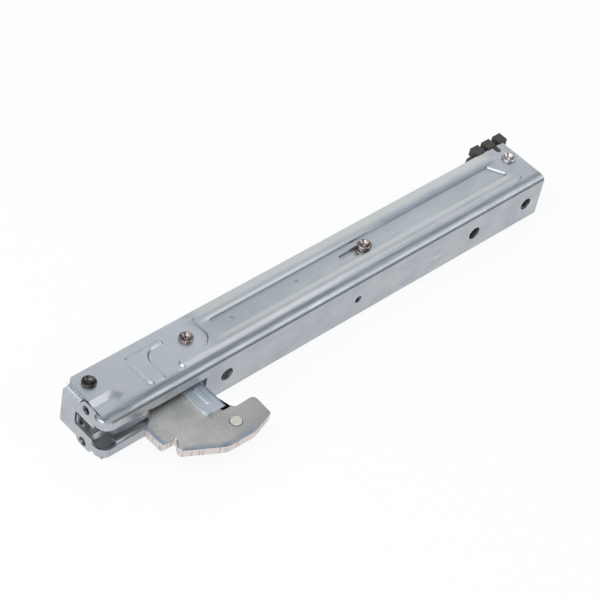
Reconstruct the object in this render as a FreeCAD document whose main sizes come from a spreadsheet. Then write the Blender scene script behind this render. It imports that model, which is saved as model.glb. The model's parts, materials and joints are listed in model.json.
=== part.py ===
import FreeCAD, Part
import Sketcher
import math
import os
import re

# The hinge of a drop-down oven door: a pressed channel that sits in the door, and a
# hooked arm that swings out of its slotted end against a tension spring.
#
# Every piece is drawn in one set of axes. X runs along the channel from the outer face of
# its end wall, Y from the outer face of its web to its open side, and Z up from the
# mid-plane that the arm and the spring lie in. The door is shut in this pose.

DOC = FreeCAD.newDocument("oven_door_hinge")
SHEET = DOC.addObject("Spreadsheet::Sheet", "sizes")

# Sizes that can each be set by itself, in millimetres and degrees
SIZES = {
    # Channel pressing
    "channel_length": 282.0,
    "channel_depth": 30.2,
    "channel_height": 26.7,
    "sheet_wall": 1.2,
    "fold_radius": 3.0,
    "corner_radius": 5.5,
    "far_chamfer": 2.4,
    # Slot that the arm swings through, in the web and round the corner
    "slot_reach": 59.0,
    "corner_gap": 6.5,
    "lip_gap": 4.6,
    "lip_depth": 3.8,
    "lip_fold": 1.7,
    "lower_lip_start": 8.5,
    "upper_lip_start": 27.0,
    # End wall with its two screw ears and two tucked tabs
    "end_slot_half": 3.9,
    "end_slot_reach": 19.8,
    "end_half": 10.9,
    "end_wall_depth": 29.3,
    "band_half": 12.0,
    "rim_setback": 2.1,
    "rim_corner": 4.6,
    "ear_start": 7.4,
    "ear_end": 17.3,
    "ear_half": 13.2,
    "ear_round": 2.2,
    "notch_half": 10.5,
    "screw_radius": 2.3,
    "screw_along": 13.2,
    "screw_half": 10.4,
    "tab_start": 18.0,
    "tab_end": 28.2,
    "tab_length": 5.6,
    "tab_half": 12.0,
    "tab_fold": 1.9,
    "end_slot_round": 1.0,
    # Holes in the web
    "guide_hole_radius": 3.55,
    "guide_hole_near": 71.7,
    "guide_hole_back": 47.8,
    "small_hole_radius": 1.95,
    "small_hole_along": 154.4,
    "end_hole_radius": 3.4,
    "end_hole_back": 10.4,
    # Pressed relief of the side walls
    "relief_height": 0.9,
    "relief_slope": 28.0,
    "hook_slope": 45.0,
    "dimple_radius": 1.1,
    "dimple_depth": 0.45,
    "dimple_near": 87.1,
    "dimple_far": 127.4,
    "dimple_across": 16.6,
    "step_depth": 1.0,
    # Rivets through the two side walls
    "pivot_x": 9.2,
    "pivot_y": 23.1,
    "roller_x": 61.4,
    "roller_y": 18.8,
    "anchor_back": 6.2,
    "anchor_y": 20.1,
    "rivet_shank": 2.3,
    "rivet_head": 1.3,
    "rivet_head_radius": 3.5,
    "rivet_bore": 1.35,
    "rivet_bore_depth": 3.0,
    "rivet_edge": 0.4,
    # Bushes, roller and spools on them
    "bush_flange": 5.0,
    "bush_flange_width": 1.7,
    "bush_neck": 2.9,
    "roller_radius": 3.7,
    "spacer_radius": 3.3,
    "spool_groove": 3.0,
    "spool_groove_half": 1.55,
    "spool_flange": 4.6,
    "spool_flange_width": 1.5,
    "spool_body": 3.4,
    "side_play": 0.1,
    "pin_play": 0.06,
    # Hooked arm
    "arm_thick": 5.0,
    "hub_radius": 6.6,
    "lug_radius": 5.0,
    "claw_pin_x": 55.0,
    "claw_pin_y": -24.7,
    "claw_pin_radius": 2.75,
    "claw_pin_proud": 0.1,
    "hub_lean": 60.9,
    "neck_lean": 57.0,
    # Crank pin that pulls the links, measured from the pivot with the door shut
    "crank_x": 9.4,
    "crank_y": 3.4,
    "crank_pin": 1.9,
    "crank_head": 3.2,
    "crank_head_width": 1.2,
    # Latch
    "latch_sheet": 1.2,
    "latch_gap": 0.1,
    "latch_fold": 3.6,
    "latch_left": 45.45,
    "latch_right": 58.2,
    "latch_end": 15.7,
    "latch_round": 4.2,
    "latch_pin_x": 51.8,
    "latch_pin_y": 3.6,
    "latch_pin": 1.9,
    "latch_head": 3.0,
    "latch_head_width": 0.4,
    "bead_along": 51.4,
    "bead_half": 1.6,
    "bead_height": 0.5,
    "bead_slope": 45.0,
    "bead_start": 1.5,
    "bead_end": 9.6,
    # Pull links
    "link_inner": 5.1,
    "link_thick": 2.0,
    "link_eye": 3.9,
    "link_end_eye": 6.0,
    "link_slack": 0.6,
    "link_shoulder": 30.0,
    "link_low": 9.4,
    "link_high": 19.7,
    "link_waist": 14.2,
    "link_round": 2.0,
    "ramp_end": 76.0,
    "roller_gap": 0.25,
    "roller_overhang": 0.3,
    "tie_along": 112.0,
    "tie_across": 14.6,
    "tie_shank": 2.0,
    "tie_radius": 3.5,
    "tie_head": 1.0,
    # Slot pin and its slot
    "slot_pin_x": 170.0,
    "slot_pin_y": 15.9,
    "slot_pin": 2.0,
    "slot_half": 2.6,
    "slot_beyond": 2.2,
    "slot_head_radius": 3.5,
    "slot_head": 1.7,
    "slot_neck": 0.5,
    "slot_low_gap": 0.15,
    "slot_bore": 1.5,
    "shoe_reach": 11.6,
    "shoe_half": 3.9,
    "shoe_thick": 1.1,
    "shoe_gap": 0.5,
    # Tension spring
    "wire_radius": 1.3,
    "coil_radius": 6.6,
    "coil_pitch": 3.1,
    "coil_turns": 24.0,
    "section_swell": 1.06,
    "elbow_radius": 1.5,
    "hook_tail": 4.0,
    "hook_slack": 0.3,
    # Plastic end clip, measured either way from the anchor rivet that it snaps round
    "clip_sheet": 2.6,
    "clip_play": 0.15,
    "clip_before": 16.7,
    "clip_bulge": 3.4,
    "clip_beyond": 5.4,
    "clip_round": 1.5,
    "tooth_width": 5.4,
    "tooth_pitch": 8.1,
    "tooth_inset": 4.7,
    "tooth_reach": 5.55,
    "tooth_half": 14.0,
    "tooth_fall": 4.5,
    "tongue_width": 2.8,
    "tongue_reach": 4.0,
    "cheek_width": 2.0,
    "cheek_before": 5.2,
    "cheek_low": 17.4,
    "cheek_mouth": 2.9,
}

# Corners of the arm's outline: along, across, and the radius that rounds the corner
ARM_CORNERS = {
    "heel": (19.1, -5.0, 1.0),
    "tooth_tip": (19.3, -16.4, 1.2),
    "notch_root": (27.1, -16.8, 0.6),
    "claw_back": (24.2, -21.3, 1.0),
    "claw_foot": (24.2, -23.5, 1.4),
    "belly_start": (43.2, -33.7, 9.0),
    "belly_end": (58.6, -34.0, 9.0),
    "nose_low": (71.5, -29.9, 1.6),
    "nose_high": (72.1, -17.6, 2.4),
    "saddle": (60.8, -17.85, 1.6),
    "bump": (59.3, -16.0, 0.7),
    "latch_seat": (54.6, -16.0, 0.6),
    "arm_root": (54.6, 7.6, 3.6),
    "waist": (43.0, 9.4, 9.0),
    "recess": (28.4, 1.8, 2.6),
    "hollow": (16.4, 12.9, 2.5),
}

# Corners of the raised relief of a side wall
RELIEF_CORNERS = {
    "hook_far": (30.3, 25.3, 1.4),
    "hook_near": (30.3, 5.7, 2.8),
    "hook_foot": (39.4, 5.7, 1.5),
    "hook_bend": (38.9, 22.2, 6.5),
    "hook_arm": (51.2, 22.2, 1.2),
    "hook_tip": (51.2, 25.3, 1.3),
    "field_tail": (48.6, 5.8, 2.05),
    "field_tail_far": (48.6, 10.2, 2.05),
    "field_bend": (70.5, 10.2, 7.8),
    "field_far": (71.2, 27.2, 2.4),
    "panel_near": (74.6, 12.0, 1.2),
    "panel_far": (77.6, 21.2, 1.2),
}

# Corners of the relief that are measured back from the channel's open end
END_CORNERS = {
    "field_end_far": (14.9, 27.2, 3.2),
    "field_end_near": (8.4, 5.8, 3.2),
    "panel_end_near": (15.8, 11.9, 1.2),
    "panel_end_far": (21.4, 21.4, 1.2),
}

# Inner corner of the pressed-in corner of a side wall, at the wall's face and at its floor
STEP_CORNERS = {
    "step_rim": (19.0, 14.6, 6.0),
    "step_floor": (13.0, 11.2, 3.5),
}


def fill_sheet():
    """One row for each size: its name, its number, and the name again as the cell's alias."""
    rows = dict(SIZES)
    for corners in (ARM_CORNERS, RELIEF_CORNERS, END_CORNERS, STEP_CORNERS):
        for name, (along, across, rounding) in corners.items():
            rows[name + "_along"] = along
            rows[name + "_across"] = across
            rows[name + "_round"] = rounding
    for row, (name, number) in enumerate(rows.items(), start=1):
        SHEET.set(f"A{row}", name)
        SHEET.set(f"B{row}", str(number))
        SHEET.setAlias(f"B{row}", name)
    DOC.recompute()
    return set(rows)


NAMES = fill_sheet()

# Places and sizes that follow from the sheet
HALF = "(channel_height / 2)"
INSIDE = "(channel_height / 2 - sheet_wall)"
TRAVEL = "(crank_x + crank_y)"
CRANK_X = "(pivot_x + crank_x)"
CRANK_Y = "(pivot_y - crank_y)"
ARM_HALF = "(arm_thick / 2)"
LINK_OUTER = "(link_inner + link_thick)"
CLAW_REACH = "(0 - belly_end_across)"
ANCHOR_X = "(channel_length - anchor_back)"
CLIP_START = f"({ANCHOR_X} - clip_before)"
CLIP_END = f"({ANCHOR_X} + clip_beyond)"
CLIP_OUTER = "(channel_depth + clip_play + tooth_reach)"
CLIP_LAST = f"({CLIP_START} + tooth_inset + 2 * tooth_pitch + tooth_width)"

# The frame stands under the middle of the whole hinge, at the height of its lower rivet heads
FRAME_X = f"({CLIP_LAST} / 2)"
FRAME_Y = f"(({CLIP_OUTER} - {CLAW_REACH}) / 2)"
FRAME_Z = "(channel_height / 2 + rivet_head)"

# How far apart two lengths may lie and still be taken for the same one
NEAR = 0.001

# Flat sides of the spring's wire, and the steps its loops, elbows and turns are drawn in
WIRE_SIDES = 6
LOOP_STEPS = 8
ELBOW_STEPS = 3
TURN_STEPS = 12

SUBPARTS = []


def bound(text):
    """The same expression with the sheet's names written as references to its cells."""
    return re.sub(r"[a-z]\w*", lambda m: "sizes." + m.group() if m.group() in NAMES else m.group(), str(text))


def value(text):
    return float(SHEET.evalExpression(bound(text)))


def bind(thing, prop, text):
    thing.setExpression(prop, bound(text))


def vector(x, y, z=0):
    return FreeCAD.Vector(value(x), value(y), value(z))


def place(thing, x="0", y="0", z="0", turn=None):
    """Set a finished sub-part in the hinge's frame, by its own origin."""
    thing.Placement.Rotation.Axis = FreeCAD.Vector(0, 0, 1)
    bind(thing, "Placement.Base.x", f"{x} - {FRAME_X}")
    bind(thing, "Placement.Base.y", f"{y} - {FRAME_Y}")
    bind(thing, "Placement.Base.z", f"{z} + {FRAME_Z}")
    if turn is not None:
        thing.Placement.Rotation = FreeCAD.Rotation(FreeCAD.Vector(0, 0, 1), value(turn))
        bind(thing, "Placement.Rotation.Angle", turn)
    SUBPARTS.append(thing)
    return thing


def new_body(label):
    body = DOC.addObject("PartDesign::Body", label)
    body.Label = label
    return body


def origin_plane(body, role):
    return next(feature for feature in body.Origin.OriginFeatures if feature.Role == role)


def sketch_on(body, role="XY_Plane", offset="0"):
    """A sketch on one of the body's own origin planes, moved along that plane's normal."""
    sketch = body.newObject("Sketcher::SketchObject", body.Name + "_sketch")
    sketch.AttachmentSupport = [(origin_plane(body, role), "")]
    sketch.MapMode = "FlatFace"
    bind(sketch, "AttachmentOffset.Base.z", offset)
    return sketch


def link(kind, *where):
    """A rule of a sketch that carries no size."""
    return Sketcher.Constraint(kind, *where), None


def rule(kind, *where, size):
    """A dimension of a sketch, with the expression that drives it."""
    return Sketcher.Constraint(kind, *where, value(size)), size


def fixed_point(geometry, position, x, y):
    return [
        rule("DistanceX", -1, 1, geometry, position, size=x),
        rule("DistanceY", -1, 1, geometry, position, size=y),
    ]


def add_rules(sketch, rules):
    """Add all rules at once, then bind the dimensions among them to the sheet."""
    first = sketch.ConstraintCount
    sketch.addConstraint([constraint for constraint, size in rules])
    for number, (constraint, size) in enumerate(rules, start=first):
        if size is not None:
            bind(sketch, f"Constraints[{number}]", size)
    return sketch


def outline(sketch, corners):
    """A closed outline of straight sides. Each corner is (x, y) or (x, y, rounding)."""
    spots = [vector(corner[0], corner[1]) for corner in corners]
    count = len(corners)
    cuts = []
    for index, corner in enumerate(corners):
        spot = spots[index]
        if len(corner) == 2:
            cuts.append((spot, spot, None))
            continue
        before = (spots[index - 1] - spot).normalize()
        after = (spots[(index + 1) % count] - spot).normalize()
        half_turn = before.getAngle(after) / 2
        radius = value(corner[2])
        run = radius / math.tan(half_turn)
        middle = spot + (before + after).normalize() * (radius / math.sin(half_turn))
        crest = middle + (spot - middle).normalize() * radius
        cuts.append((spot + before * run, spot + after * run, crest))
    sides = sketch.addGeometry([
        Part.LineSegment(cuts[index][1], cuts[(index + 1) % count][0]) for index in range(count)
    ], False)
    rules = []
    for index, corner in enumerate(corners):
        into, out_of = sides[index - 1], sides[index]
        start, stop, crest = cuts[index]
        if crest is None:
            rules.append(link("Coincident", into, 2, out_of, 1))
            rules += fixed_point(out_of, 1, corner[0], corner[1])
            continue
        bend = sketch.addGeometry(Part.Arc(start, crest, stop), False)
        flipped = sketch.getPoint(bend, 1).distanceToPoint(start) > sketch.getPoint(bend, 1).distanceToPoint(stop)
        first, last = (2, 1) if flipped else (1, 2)
        mark = sketch.addGeometry(Part.Point(spots[index]), True)
        rules += [
            link("Tangent", into, 2, bend, first),
            link("Tangent", bend, last, out_of, 1),
            rule("Radius", bend, size=corner[2]),
            link("PointOnObject", mark, 1, into),
            link("PointOnObject", mark, 1, out_of),
        ]
        rules += fixed_point(mark, 1, corner[0], corner[1])
    return add_rules(sketch, rules)


def rectangle(sketch, low_x, low_y, high_x, high_y, rounding=None):
    corners = [(low_x, low_y), (high_x, low_y), (high_x, high_y), (low_x, high_y)]
    if rounding:
        corners = [corner + (rounding,) for corner in corners]
    return outline(sketch, corners)


def circle(sketch, x, y, radius):
    ring = sketch.addGeometry(Part.Circle(vector(x, y), FreeCAD.Vector(0, 0, 1), value(radius)), False)
    return add_rules(sketch, [rule("Radius", ring, size=radius)] + fixed_point(ring, 3, x, y))


def stadium(sketch, first, second, radius):
    """A round-ended slot between two centres, each (x, y)."""
    start = vector(*first)
    stop = vector(*second)
    reach = value(radius)
    along = (stop - start).normalize()
    side = FreeCAD.Vector(-along.y, along.x, 0) * reach
    left, right, low, high = sketch.addGeometry([
        Part.Arc(start + side, start - along * reach, start - side),
        Part.Arc(stop - side, stop + along * reach, stop + side),
        Part.LineSegment(start - side, stop - side),
        Part.LineSegment(stop + side, start + side),
    ], False)
    rules = [
        link("Tangent", left, 2, low, 1),
        link("Tangent", right, 1, low, 2),
        link("Tangent", right, 2, high, 1),
        link("Tangent", left, 1, high, 2),
        rule("Radius", left, size=radius),
    ]
    return add_rules(sketch, rules + fixed_point(left, 3, *first) + fixed_point(right, 3, *second))


def feature(body, kind, sketch, length, both_ways=True, reverse=False, taper=None):
    """A pad or pocket of a sketch. Both ways means half of the length on each side of it."""
    step = body.newObject("PartDesign::" + kind, body.Name + "_" + kind.lower())
    step.Profile = sketch
    step.Type = "Length"
    step.SideType = "Symmetric" if both_ways else "One side"
    step.Reversed = reverse
    bind(step, "Length", length)
    if taper is not None:
        step.TaperAngle = value(taper)
        bind(step, "TaperAngle", taper)
    return step


def pad(body, sketch, length, **how):
    return feature(body, "Pad", sketch, length, **how)


def pocket(body, sketch, length, **how):
    return feature(body, "Pocket", sketch, length, **how)


def edges_where(shape, test):
    return [f"Edge{number}" for number, edge in enumerate(shape.Edges, start=1) if test(edge)]


def soften(body, kind, size, test):
    """A fillet or a chamfer on the edges of the body's tip that pass the test."""
    DOC.recompute()
    base = body.Tip
    names = edges_where(base.Shape, test)
    step = body.newObject("PartDesign::" + kind, body.Name + "_" + kind.lower())
    step.Base = (base, names)
    bind(step, "Radius" if kind == "Fillet" else "Size", size)
    return step


def near(first, second):
    return abs(first - second) < NEAR


def turned(label, profile, x="0", y="0"):
    """A piece turned about its own Z axis. The profile is a list of (radius, height)."""
    body = new_body(label)
    sketch = outline(sketch_on(body, "XZ_Plane"), profile)
    spin = body.newObject("PartDesign::Revolution", label + "_spin")
    spin.Profile = sketch
    spin.ReferenceAxis = (sketch, ["V_Axis"])
    spin.Angle = 360
    return place(body, x, y)


def sleeve(label, inner, outer, low, high, x, y):
    return turned(label, [(inner, low), (outer, low), (outer, high), (inner, high)], x, y)


# Channel

def relief_of(names):
    """The named corners as an outline. Those of the open end are measured back from it."""
    return [
        (("channel_length - " if name in END_CORNERS else "") + name + "_along", name + "_across", name + "_round")
        for name in names
    ]


HOOK_RELIEF = ("hook_far", "hook_near", "hook_foot", "hook_bend", "hook_arm", "hook_tip")
FIELD_RELIEF = ("field_tail", "field_end_near", "field_end_far", "field_far", "field_bend", "field_tail_far")
PANEL_RELIEF = ("panel_near", "panel_end_near", "panel_end_far", "panel_far")
BEYOND = "(channel_depth + sheet_wall)"


def folded_shell(body):
    """The bare pressing: web, two side walls and end wall, with rounded folds."""
    blank = rectangle(sketch_on(body), "0", "0", "channel_length", "channel_depth")
    pad(body, blank, "channel_height")
    soften(body, "Fillet", "corner_radius",
           lambda edge: near(edge.CenterOfMass.x, 0) and near(edge.CenterOfMass.y, 0))
    bend = value("corner_radius") + NEAR
    soften(body, "Fillet", "fold_radius",
           lambda edge: near(edge.BoundBox.ZLength, 0) and (edge.BoundBox.YMax < bend or edge.BoundBox.XMax < bend))
    DOC.recompute()
    base = body.Tip
    depth, length = value("channel_depth"), value("channel_length")
    open_faces = [
        f"Face{number}" for number, face in enumerate(base.Shape.Faces, start=1)
        if near(face.BoundBox.YMin, depth) or near(face.BoundBox.XMin, length)
    ]
    shell = body.newObject("PartDesign::Thickness", "channel_shell")
    shell.Base = (base, open_faces)
    shell.Mode = 0
    shell.Join = 0
    shell.Reversed = True
    bind(shell, "Value", "sheet_wall")


def corner_step(body):
    """The corner of each side wall by the web is pressed in a little, with gentle sides."""
    for side in (1, -1):
        for kind, level, back in (("SubtractiveLoft", HALF, "0 - sheet_wall"), ("AdditiveLoft", INSIDE, "sheet_wall")):
            layers = []
            for drop, name in (("0", "step_rim"), ("step_depth", "step_floor")):
                layer = sketch_on(body, "XY_Plane", f"{side} * ({level} - {drop})")
                outline(layer, [
                    (back, back),
                    (name + "_along", back),
                    (name + "_along", name + "_across", name + "_round"),
                    (back, name + "_across"),
                ])
                layers.append(layer)
            loft = body.newObject("PartDesign::" + kind, "channel_step")
            loft.Profile = layers[0]
            loft.Sections = layers[1:]
            loft.Ruled = True


def press_relief(body):
    """Raised fields on both side walls, one with a sunk panel, in sheet of one thickness."""
    for side in (1, -1):
        for names, outside, inside, flare in (
            (HOOK_RELIEF, "Pad", "Pocket", "0 - hook_slope"),
            (FIELD_RELIEF, "Pad", "Pocket", "0 - relief_slope"),
            (PANEL_RELIEF, "Pocket", "Pad", "relief_slope"),
        ):
            for kind, level in ((outside, HALF), (inside, INSIDE)):
                sketch = outline(sketch_on(body, "XY_Plane", f"{side} * {level}"), relief_of(names))
                away = side > 0 if kind == "Pad" else side < 0
                feature(body, kind, sketch, "relief_height", False, not away, flare)
        for along in ("dimple_near", "dimple_far"):
            dimple = circle(sketch_on(body, "XY_Plane", f"{side} * {HALF}"), along, "dimple_across", "dimple_radius")
            pocket(body, dimple, "dimple_depth", both_ways=False, reverse=side < 0)


def end_plate(body):
    """The end wall, with two screw ears, and two tabs tucked under the side walls."""
    for side in (1, -1):
        rim = sketch_on(body, "XY_Plane", f"{side} * {HALF}")
        outline(rim, [
            ("0 - sheet_wall", "0 - sheet_wall"),
            ("rim_corner", "0 - sheet_wall"),
            ("rim_corner", "rim_corner * 2 / 3", "rim_setback / 2"),
            ("rim_setback", "corner_radius", "rim_setback / 2"),
            ("rim_setback", "channel_depth - far_chamfer"),
            ("rim_setback + far_chamfer + sheet_wall", BEYOND),
            ("0 - sheet_wall", BEYOND),
        ])
        pocket(body, rim, f"2 * ({HALF} - band_half)")
    old_wall = sketch_on(body, "YZ_Plane")
    rectangle(old_wall, "corner_radius", f"0 - {HALF} - sheet_wall", BEYOND, f"{HALF} + sheet_wall")
    pocket(body, old_wall, "2 * rim_setback")
    upper = [
        ("corner_radius", "notch_half"),
        ("ear_start", "notch_half"),
        ("ear_start", "ear_half", "ear_round"),
        ("ear_end", "ear_half", "ear_round"),
        ("ear_end", "end_half"),
        ("tab_start", "end_half"),
        ("tab_start", "tab_half - tab_fold"),
        ("tab_end", "tab_half - tab_fold"),
        ("tab_end", "end_half"),
        ("end_wall_depth", "end_half - sheet_wall"),
    ]
    lower = [(corner[0], f"0 - ({corner[1]})") + corner[2:] for corner in reversed(upper)]
    pad(body, outline(sketch_on(body, "YZ_Plane"), upper + lower), "sheet_wall", both_ways=False)
    for sign in ("", "0 - "):
        tab = outline(sketch_on(body, "XZ_Plane", "0 - tab_start"), [
            ("0", f"{sign}(tab_half - 2 * tab_fold)"),
            ("0", sign + "tab_half", "tab_fold"),
            ("tab_length", sign + "tab_half"),
            ("tab_length", f"{sign}(tab_half - sheet_wall)"),
            ("sheet_wall", f"{sign}(tab_half - sheet_wall)", "tab_fold - sheet_wall"),
            ("sheet_wall", f"{sign}(tab_half - 2 * tab_fold)"),
        ])
        pad(body, tab, "tab_end - tab_start", both_ways=False, reverse=True)
    holes = sketch_on(body, "YZ_Plane")
    for side in ("", "0 - "):
        circle(holes, "screw_along", side + "screw_half", "screw_radius")
    pocket(body, holes, "2 * rim_setback")


def arm_slot(body):
    """The slot that the arm swings through, and the two lips folded in along it."""
    slot = rectangle(sketch_on(body, "XZ_Plane"), "0 - sheet_wall", "0 - corner_gap", "slot_reach", "corner_gap")
    pocket(body, slot, "2 * ear_start")
    mouth = rectangle(sketch_on(body, "YZ_Plane"), "0 - sheet_wall", "0 - end_slot_half",
                      "end_slot_reach", "end_slot_half", "end_slot_round")
    pocket(body, mouth, "2 * rim_setback")
    for sign, start in (("", "upper_lip_start"), ("0 - ", "lower_lip_start")):
        lip = outline(sketch_on(body, "YZ_Plane", start), [
            ("0", f"{sign}(corner_gap + sheet_wall)"),
            ("0", sign + "lip_gap", "lip_fold"),
            ("lip_depth", sign + "lip_gap"),
            ("lip_depth", f"{sign}(lip_gap + sheet_wall)"),
            ("sheet_wall", f"{sign}(lip_gap + sheet_wall)"),
            ("sheet_wall", f"{sign}(corner_gap + sheet_wall)"),
        ])
        pad(body, lip, f"slot_reach - {start}", both_ways=False)


def channel_holes(body):
    web = sketch_on(body, "XZ_Plane")
    circle(web, "guide_hole_near", "0", "guide_hole_radius")
    circle(web, "channel_length - guide_hole_back", "0", "guide_hole_radius")
    circle(web, "small_hole_along", "0", "small_hole_radius")
    circle(web, "channel_length - end_hole_back", "0", "end_hole_radius")
    pocket(body, web, "2 * fold_radius")
    walls = sketch_on(body)
    for x, y in (("pivot_x", "pivot_y"), ("roller_x", "roller_y"), (ANCHOR_X, "anchor_y")):
        circle(walls, x, y, "rivet_shank")
    stadium(walls, (f"slot_pin_x - {TRAVEL}", "slot_pin_y"), ("slot_pin_x + slot_beyond", "slot_pin_y"),
            "slot_half")
    stadium(walls, (ANCHOR_X, "channel_depth - tongue_reach + tongue_width / 2"), (ANCHOR_X, BEYOND),
            "tongue_width / 2 + clip_play")
    pocket(body, walls, "channel_height + 2 * relief_height")


def channel():
    body = new_body("channel")
    folded_shell(body)
    corner_step(body)
    press_relief(body)
    end_plate(body)
    arm_slot(body)
    channel_holes(body)
    return place(body)


# Plastic end clip

def end_clip():
    """A plate over the open end of the channel, with cheeks that snap round the anchor."""
    body = new_body("end_clip")
    seat = "(channel_depth + clip_play)"
    cheek_top = f"({INSIDE} - clip_play)"
    plate = outline(sketch_on(body, "XZ_Plane", "0 - " + seat), [
        (CLIP_START, cheek_top),
        (f"{CLIP_START} - clip_bulge", "0", "clip_round"),
        (CLIP_START, "0 - " + cheek_top),
        (CLIP_END, "0 - " + cheek_top),
        (CLIP_END, cheek_top),
    ])
    pad(body, plate, "clip_sheet", both_ways=False, reverse=True)
    for side in (1, -1):
        cheek = sketch_on(body, "XY_Plane", f"{side} * ({cheek_top} - cheek_width / 2)")
        outline(cheek, [
            (f"{ANCHOR_X} - cheek_before", seat + " + clip_sheet / 2"),
            (f"{ANCHOR_X} - cheek_before", "cheek_low", "clip_round"),
            (f"{ANCHOR_X} - cheek_mouth", "cheek_low"),
            (f"{ANCHOR_X} - cheek_mouth", "anchor_y"),
            (f"{ANCHOR_X} + cheek_mouth", "anchor_y"),
            (f"{ANCHOR_X} + cheek_mouth", "cheek_low"),
            (CLIP_END, "cheek_low", "clip_round"),
            (CLIP_END, seat + " + clip_sheet / 2"),
        ])
        pad(body, cheek, "cheek_width")
        teeth = sketch_on(body, "XZ_Plane", "0 - " + seat)
        for step in range(3):
            start = f"({CLIP_START} + tooth_inset + {step} * tooth_pitch)"
            rectangle(teeth, start, f"{side} * (tooth_half - tooth_fall)", start + " + tooth_width",
                      f"{side} * tooth_half")
        pad(body, teeth, "tooth_reach", both_ways=False, reverse=True)
        tongue = sketch_on(body, "XY_Plane", f"{side} * ({HALF} + {INSIDE} - cheek_width) / 2")
        stadium(tongue, (ANCHOR_X, "channel_depth - tongue_reach + tongue_width / 2"), (ANCHOR_X, seat),
                "tongue_width / 2")
        pad(body, tongue, "sheet_wall + cheek_width")
    snap = circle(sketch_on(body), ANCHOR_X, "anchor_y", "spool_body + clip_play")
    pocket(body, snap, "channel_height")
    return place(body)


# Rivets, bushes, spools and the roller

def rivet(label, x, y):
    """A semi-tubular rivet through both side walls, rolled over at its hollow upper end."""
    top = f"({HALF} + rivet_head)"
    return turned(label, [
        ("0", f"0 - {top}"),
        ("rivet_head_radius - rivet_edge", f"0 - {top}"),
        ("rivet_head_radius", f"0 - {top} + rivet_edge"),
        ("rivet_head_radius", f"0 - {HALF}"),
        ("rivet_shank", f"0 - {HALF}"),
        ("rivet_shank", HALF),
        ("rivet_head_radius", HALF),
        ("rivet_head_radius", f"{top} - 2 * rivet_edge"),
        ("rivet_head_radius - 2 * rivet_edge", top),
        ("rivet_bore", top),
        ("rivet_bore", f"{top} - rivet_bore_depth"),
        ("0", f"{top} - rivet_bore_depth"),
    ], x, y)


def pivot_bush(label, side):
    inner = f"{side} * ({ARM_HALF} + side_play)"
    step = f"{side} * ({ARM_HALF} + side_play + bush_flange_width)"
    return turned(label, [
        ("rivet_shank", inner),
        ("bush_flange", inner),
        ("bush_flange", step),
        ("bush_neck", step),
        ("bush_neck", f"{side} * {INSIDE}"),
        ("rivet_shank", f"{side} * {INSIDE}"),
    ], "pivot_x", "pivot_y")


def spool(label, bore, flange_outer, body_radius, end, x, y):
    """A grooved spool for one hook of the spring. The body past the flanges may be absent."""
    profile = [(bore, f"0 - {end}")]
    if body_radius:
        profile += [(body_radius, f"0 - {end}"), (body_radius, f"0 - {flange_outer}")]
    profile += [
        ("spool_flange", f"0 - {flange_outer}"),
        ("spool_flange", "0 - spool_groove_half"),
        ("spool_groove", "0 - spool_groove_half"),
        ("spool_groove", "spool_groove_half"),
        ("spool_flange", "spool_groove_half"),
        ("spool_flange", flange_outer),
    ]
    if body_radius:
        profile += [(body_radius, flange_outer), (body_radius, end)]
    profile.append((bore, end))
    return turned(label, profile, x, y)


def flanged_pin(label, shank, head, inner, outer, x, y):
    """A pin with the same flat head at both ends."""
    return turned(label, [
        ("0", f"0 - {outer}"),
        (head, f"0 - {outer}"),
        (head, f"0 - {inner}"),
        (shank, f"0 - {inner}"),
        (shank, inner),
        (head, inner),
        (head, outer),
        ("0", outer),
    ], x, y)


def slot_pin():
    """The pin that runs in the slots of the side walls, with its upper head standing proud."""
    low = f"(0 - {HALF} - rivet_head)"
    neck = f"({HALF} + slot_neck)"
    top = f"({HALF} + slot_neck + slot_head)"
    return turned("slot_pin", [
        ("0", low),
        ("slot_head_radius - rivet_edge", low),
        ("slot_head_radius", f"{low} + rivet_edge"),
        ("slot_head_radius", f"0 - {HALF} - slot_low_gap"),
        ("slot_pin", f"0 - {HALF} - slot_low_gap"),
        ("slot_pin", neck),
        ("slot_head_radius", neck),
        ("slot_head_radius", f"{top} - 2 * rivet_edge"),
        ("slot_head_radius - 2 * rivet_edge", top),
        ("slot_bore", top),
        ("slot_bore", f"{top} - rivet_bore_depth"),
        ("0", f"{top} - rivet_bore_depth"),
    ], "slot_pin_x", "slot_pin_y")


def slot_spacer(label, side):
    """A sleeve on the slot pin, with a flat shoe that slides along under the wall's slot."""
    body = new_body(label)
    seat = f"({LINK_OUTER} + side_play)"
    top = f"({INSIDE} - side_play)"
    ring = sketch_on(body, "XY_Plane", f"{side} * ({seat} + {top}) / 2")
    pad(body, circle(ring, "0", "0", "slot_head_radius"), f"{top} - {seat}")
    shoe = sketch_on(body, "XY_Plane", f"{side} * ({INSIDE} - shoe_gap - shoe_thick / 2)")
    stadium(shoe, ("0 - shoe_reach", "0"), ("0", "0"), "shoe_half")
    pad(body, shoe, "shoe_thick")
    pocket(body, circle(sketch_on(body), "0", "0", "slot_pin"), "channel_height")
    return place(body, "slot_pin_x", "slot_pin_y")


# Hooked arm and what is riveted to it

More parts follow.
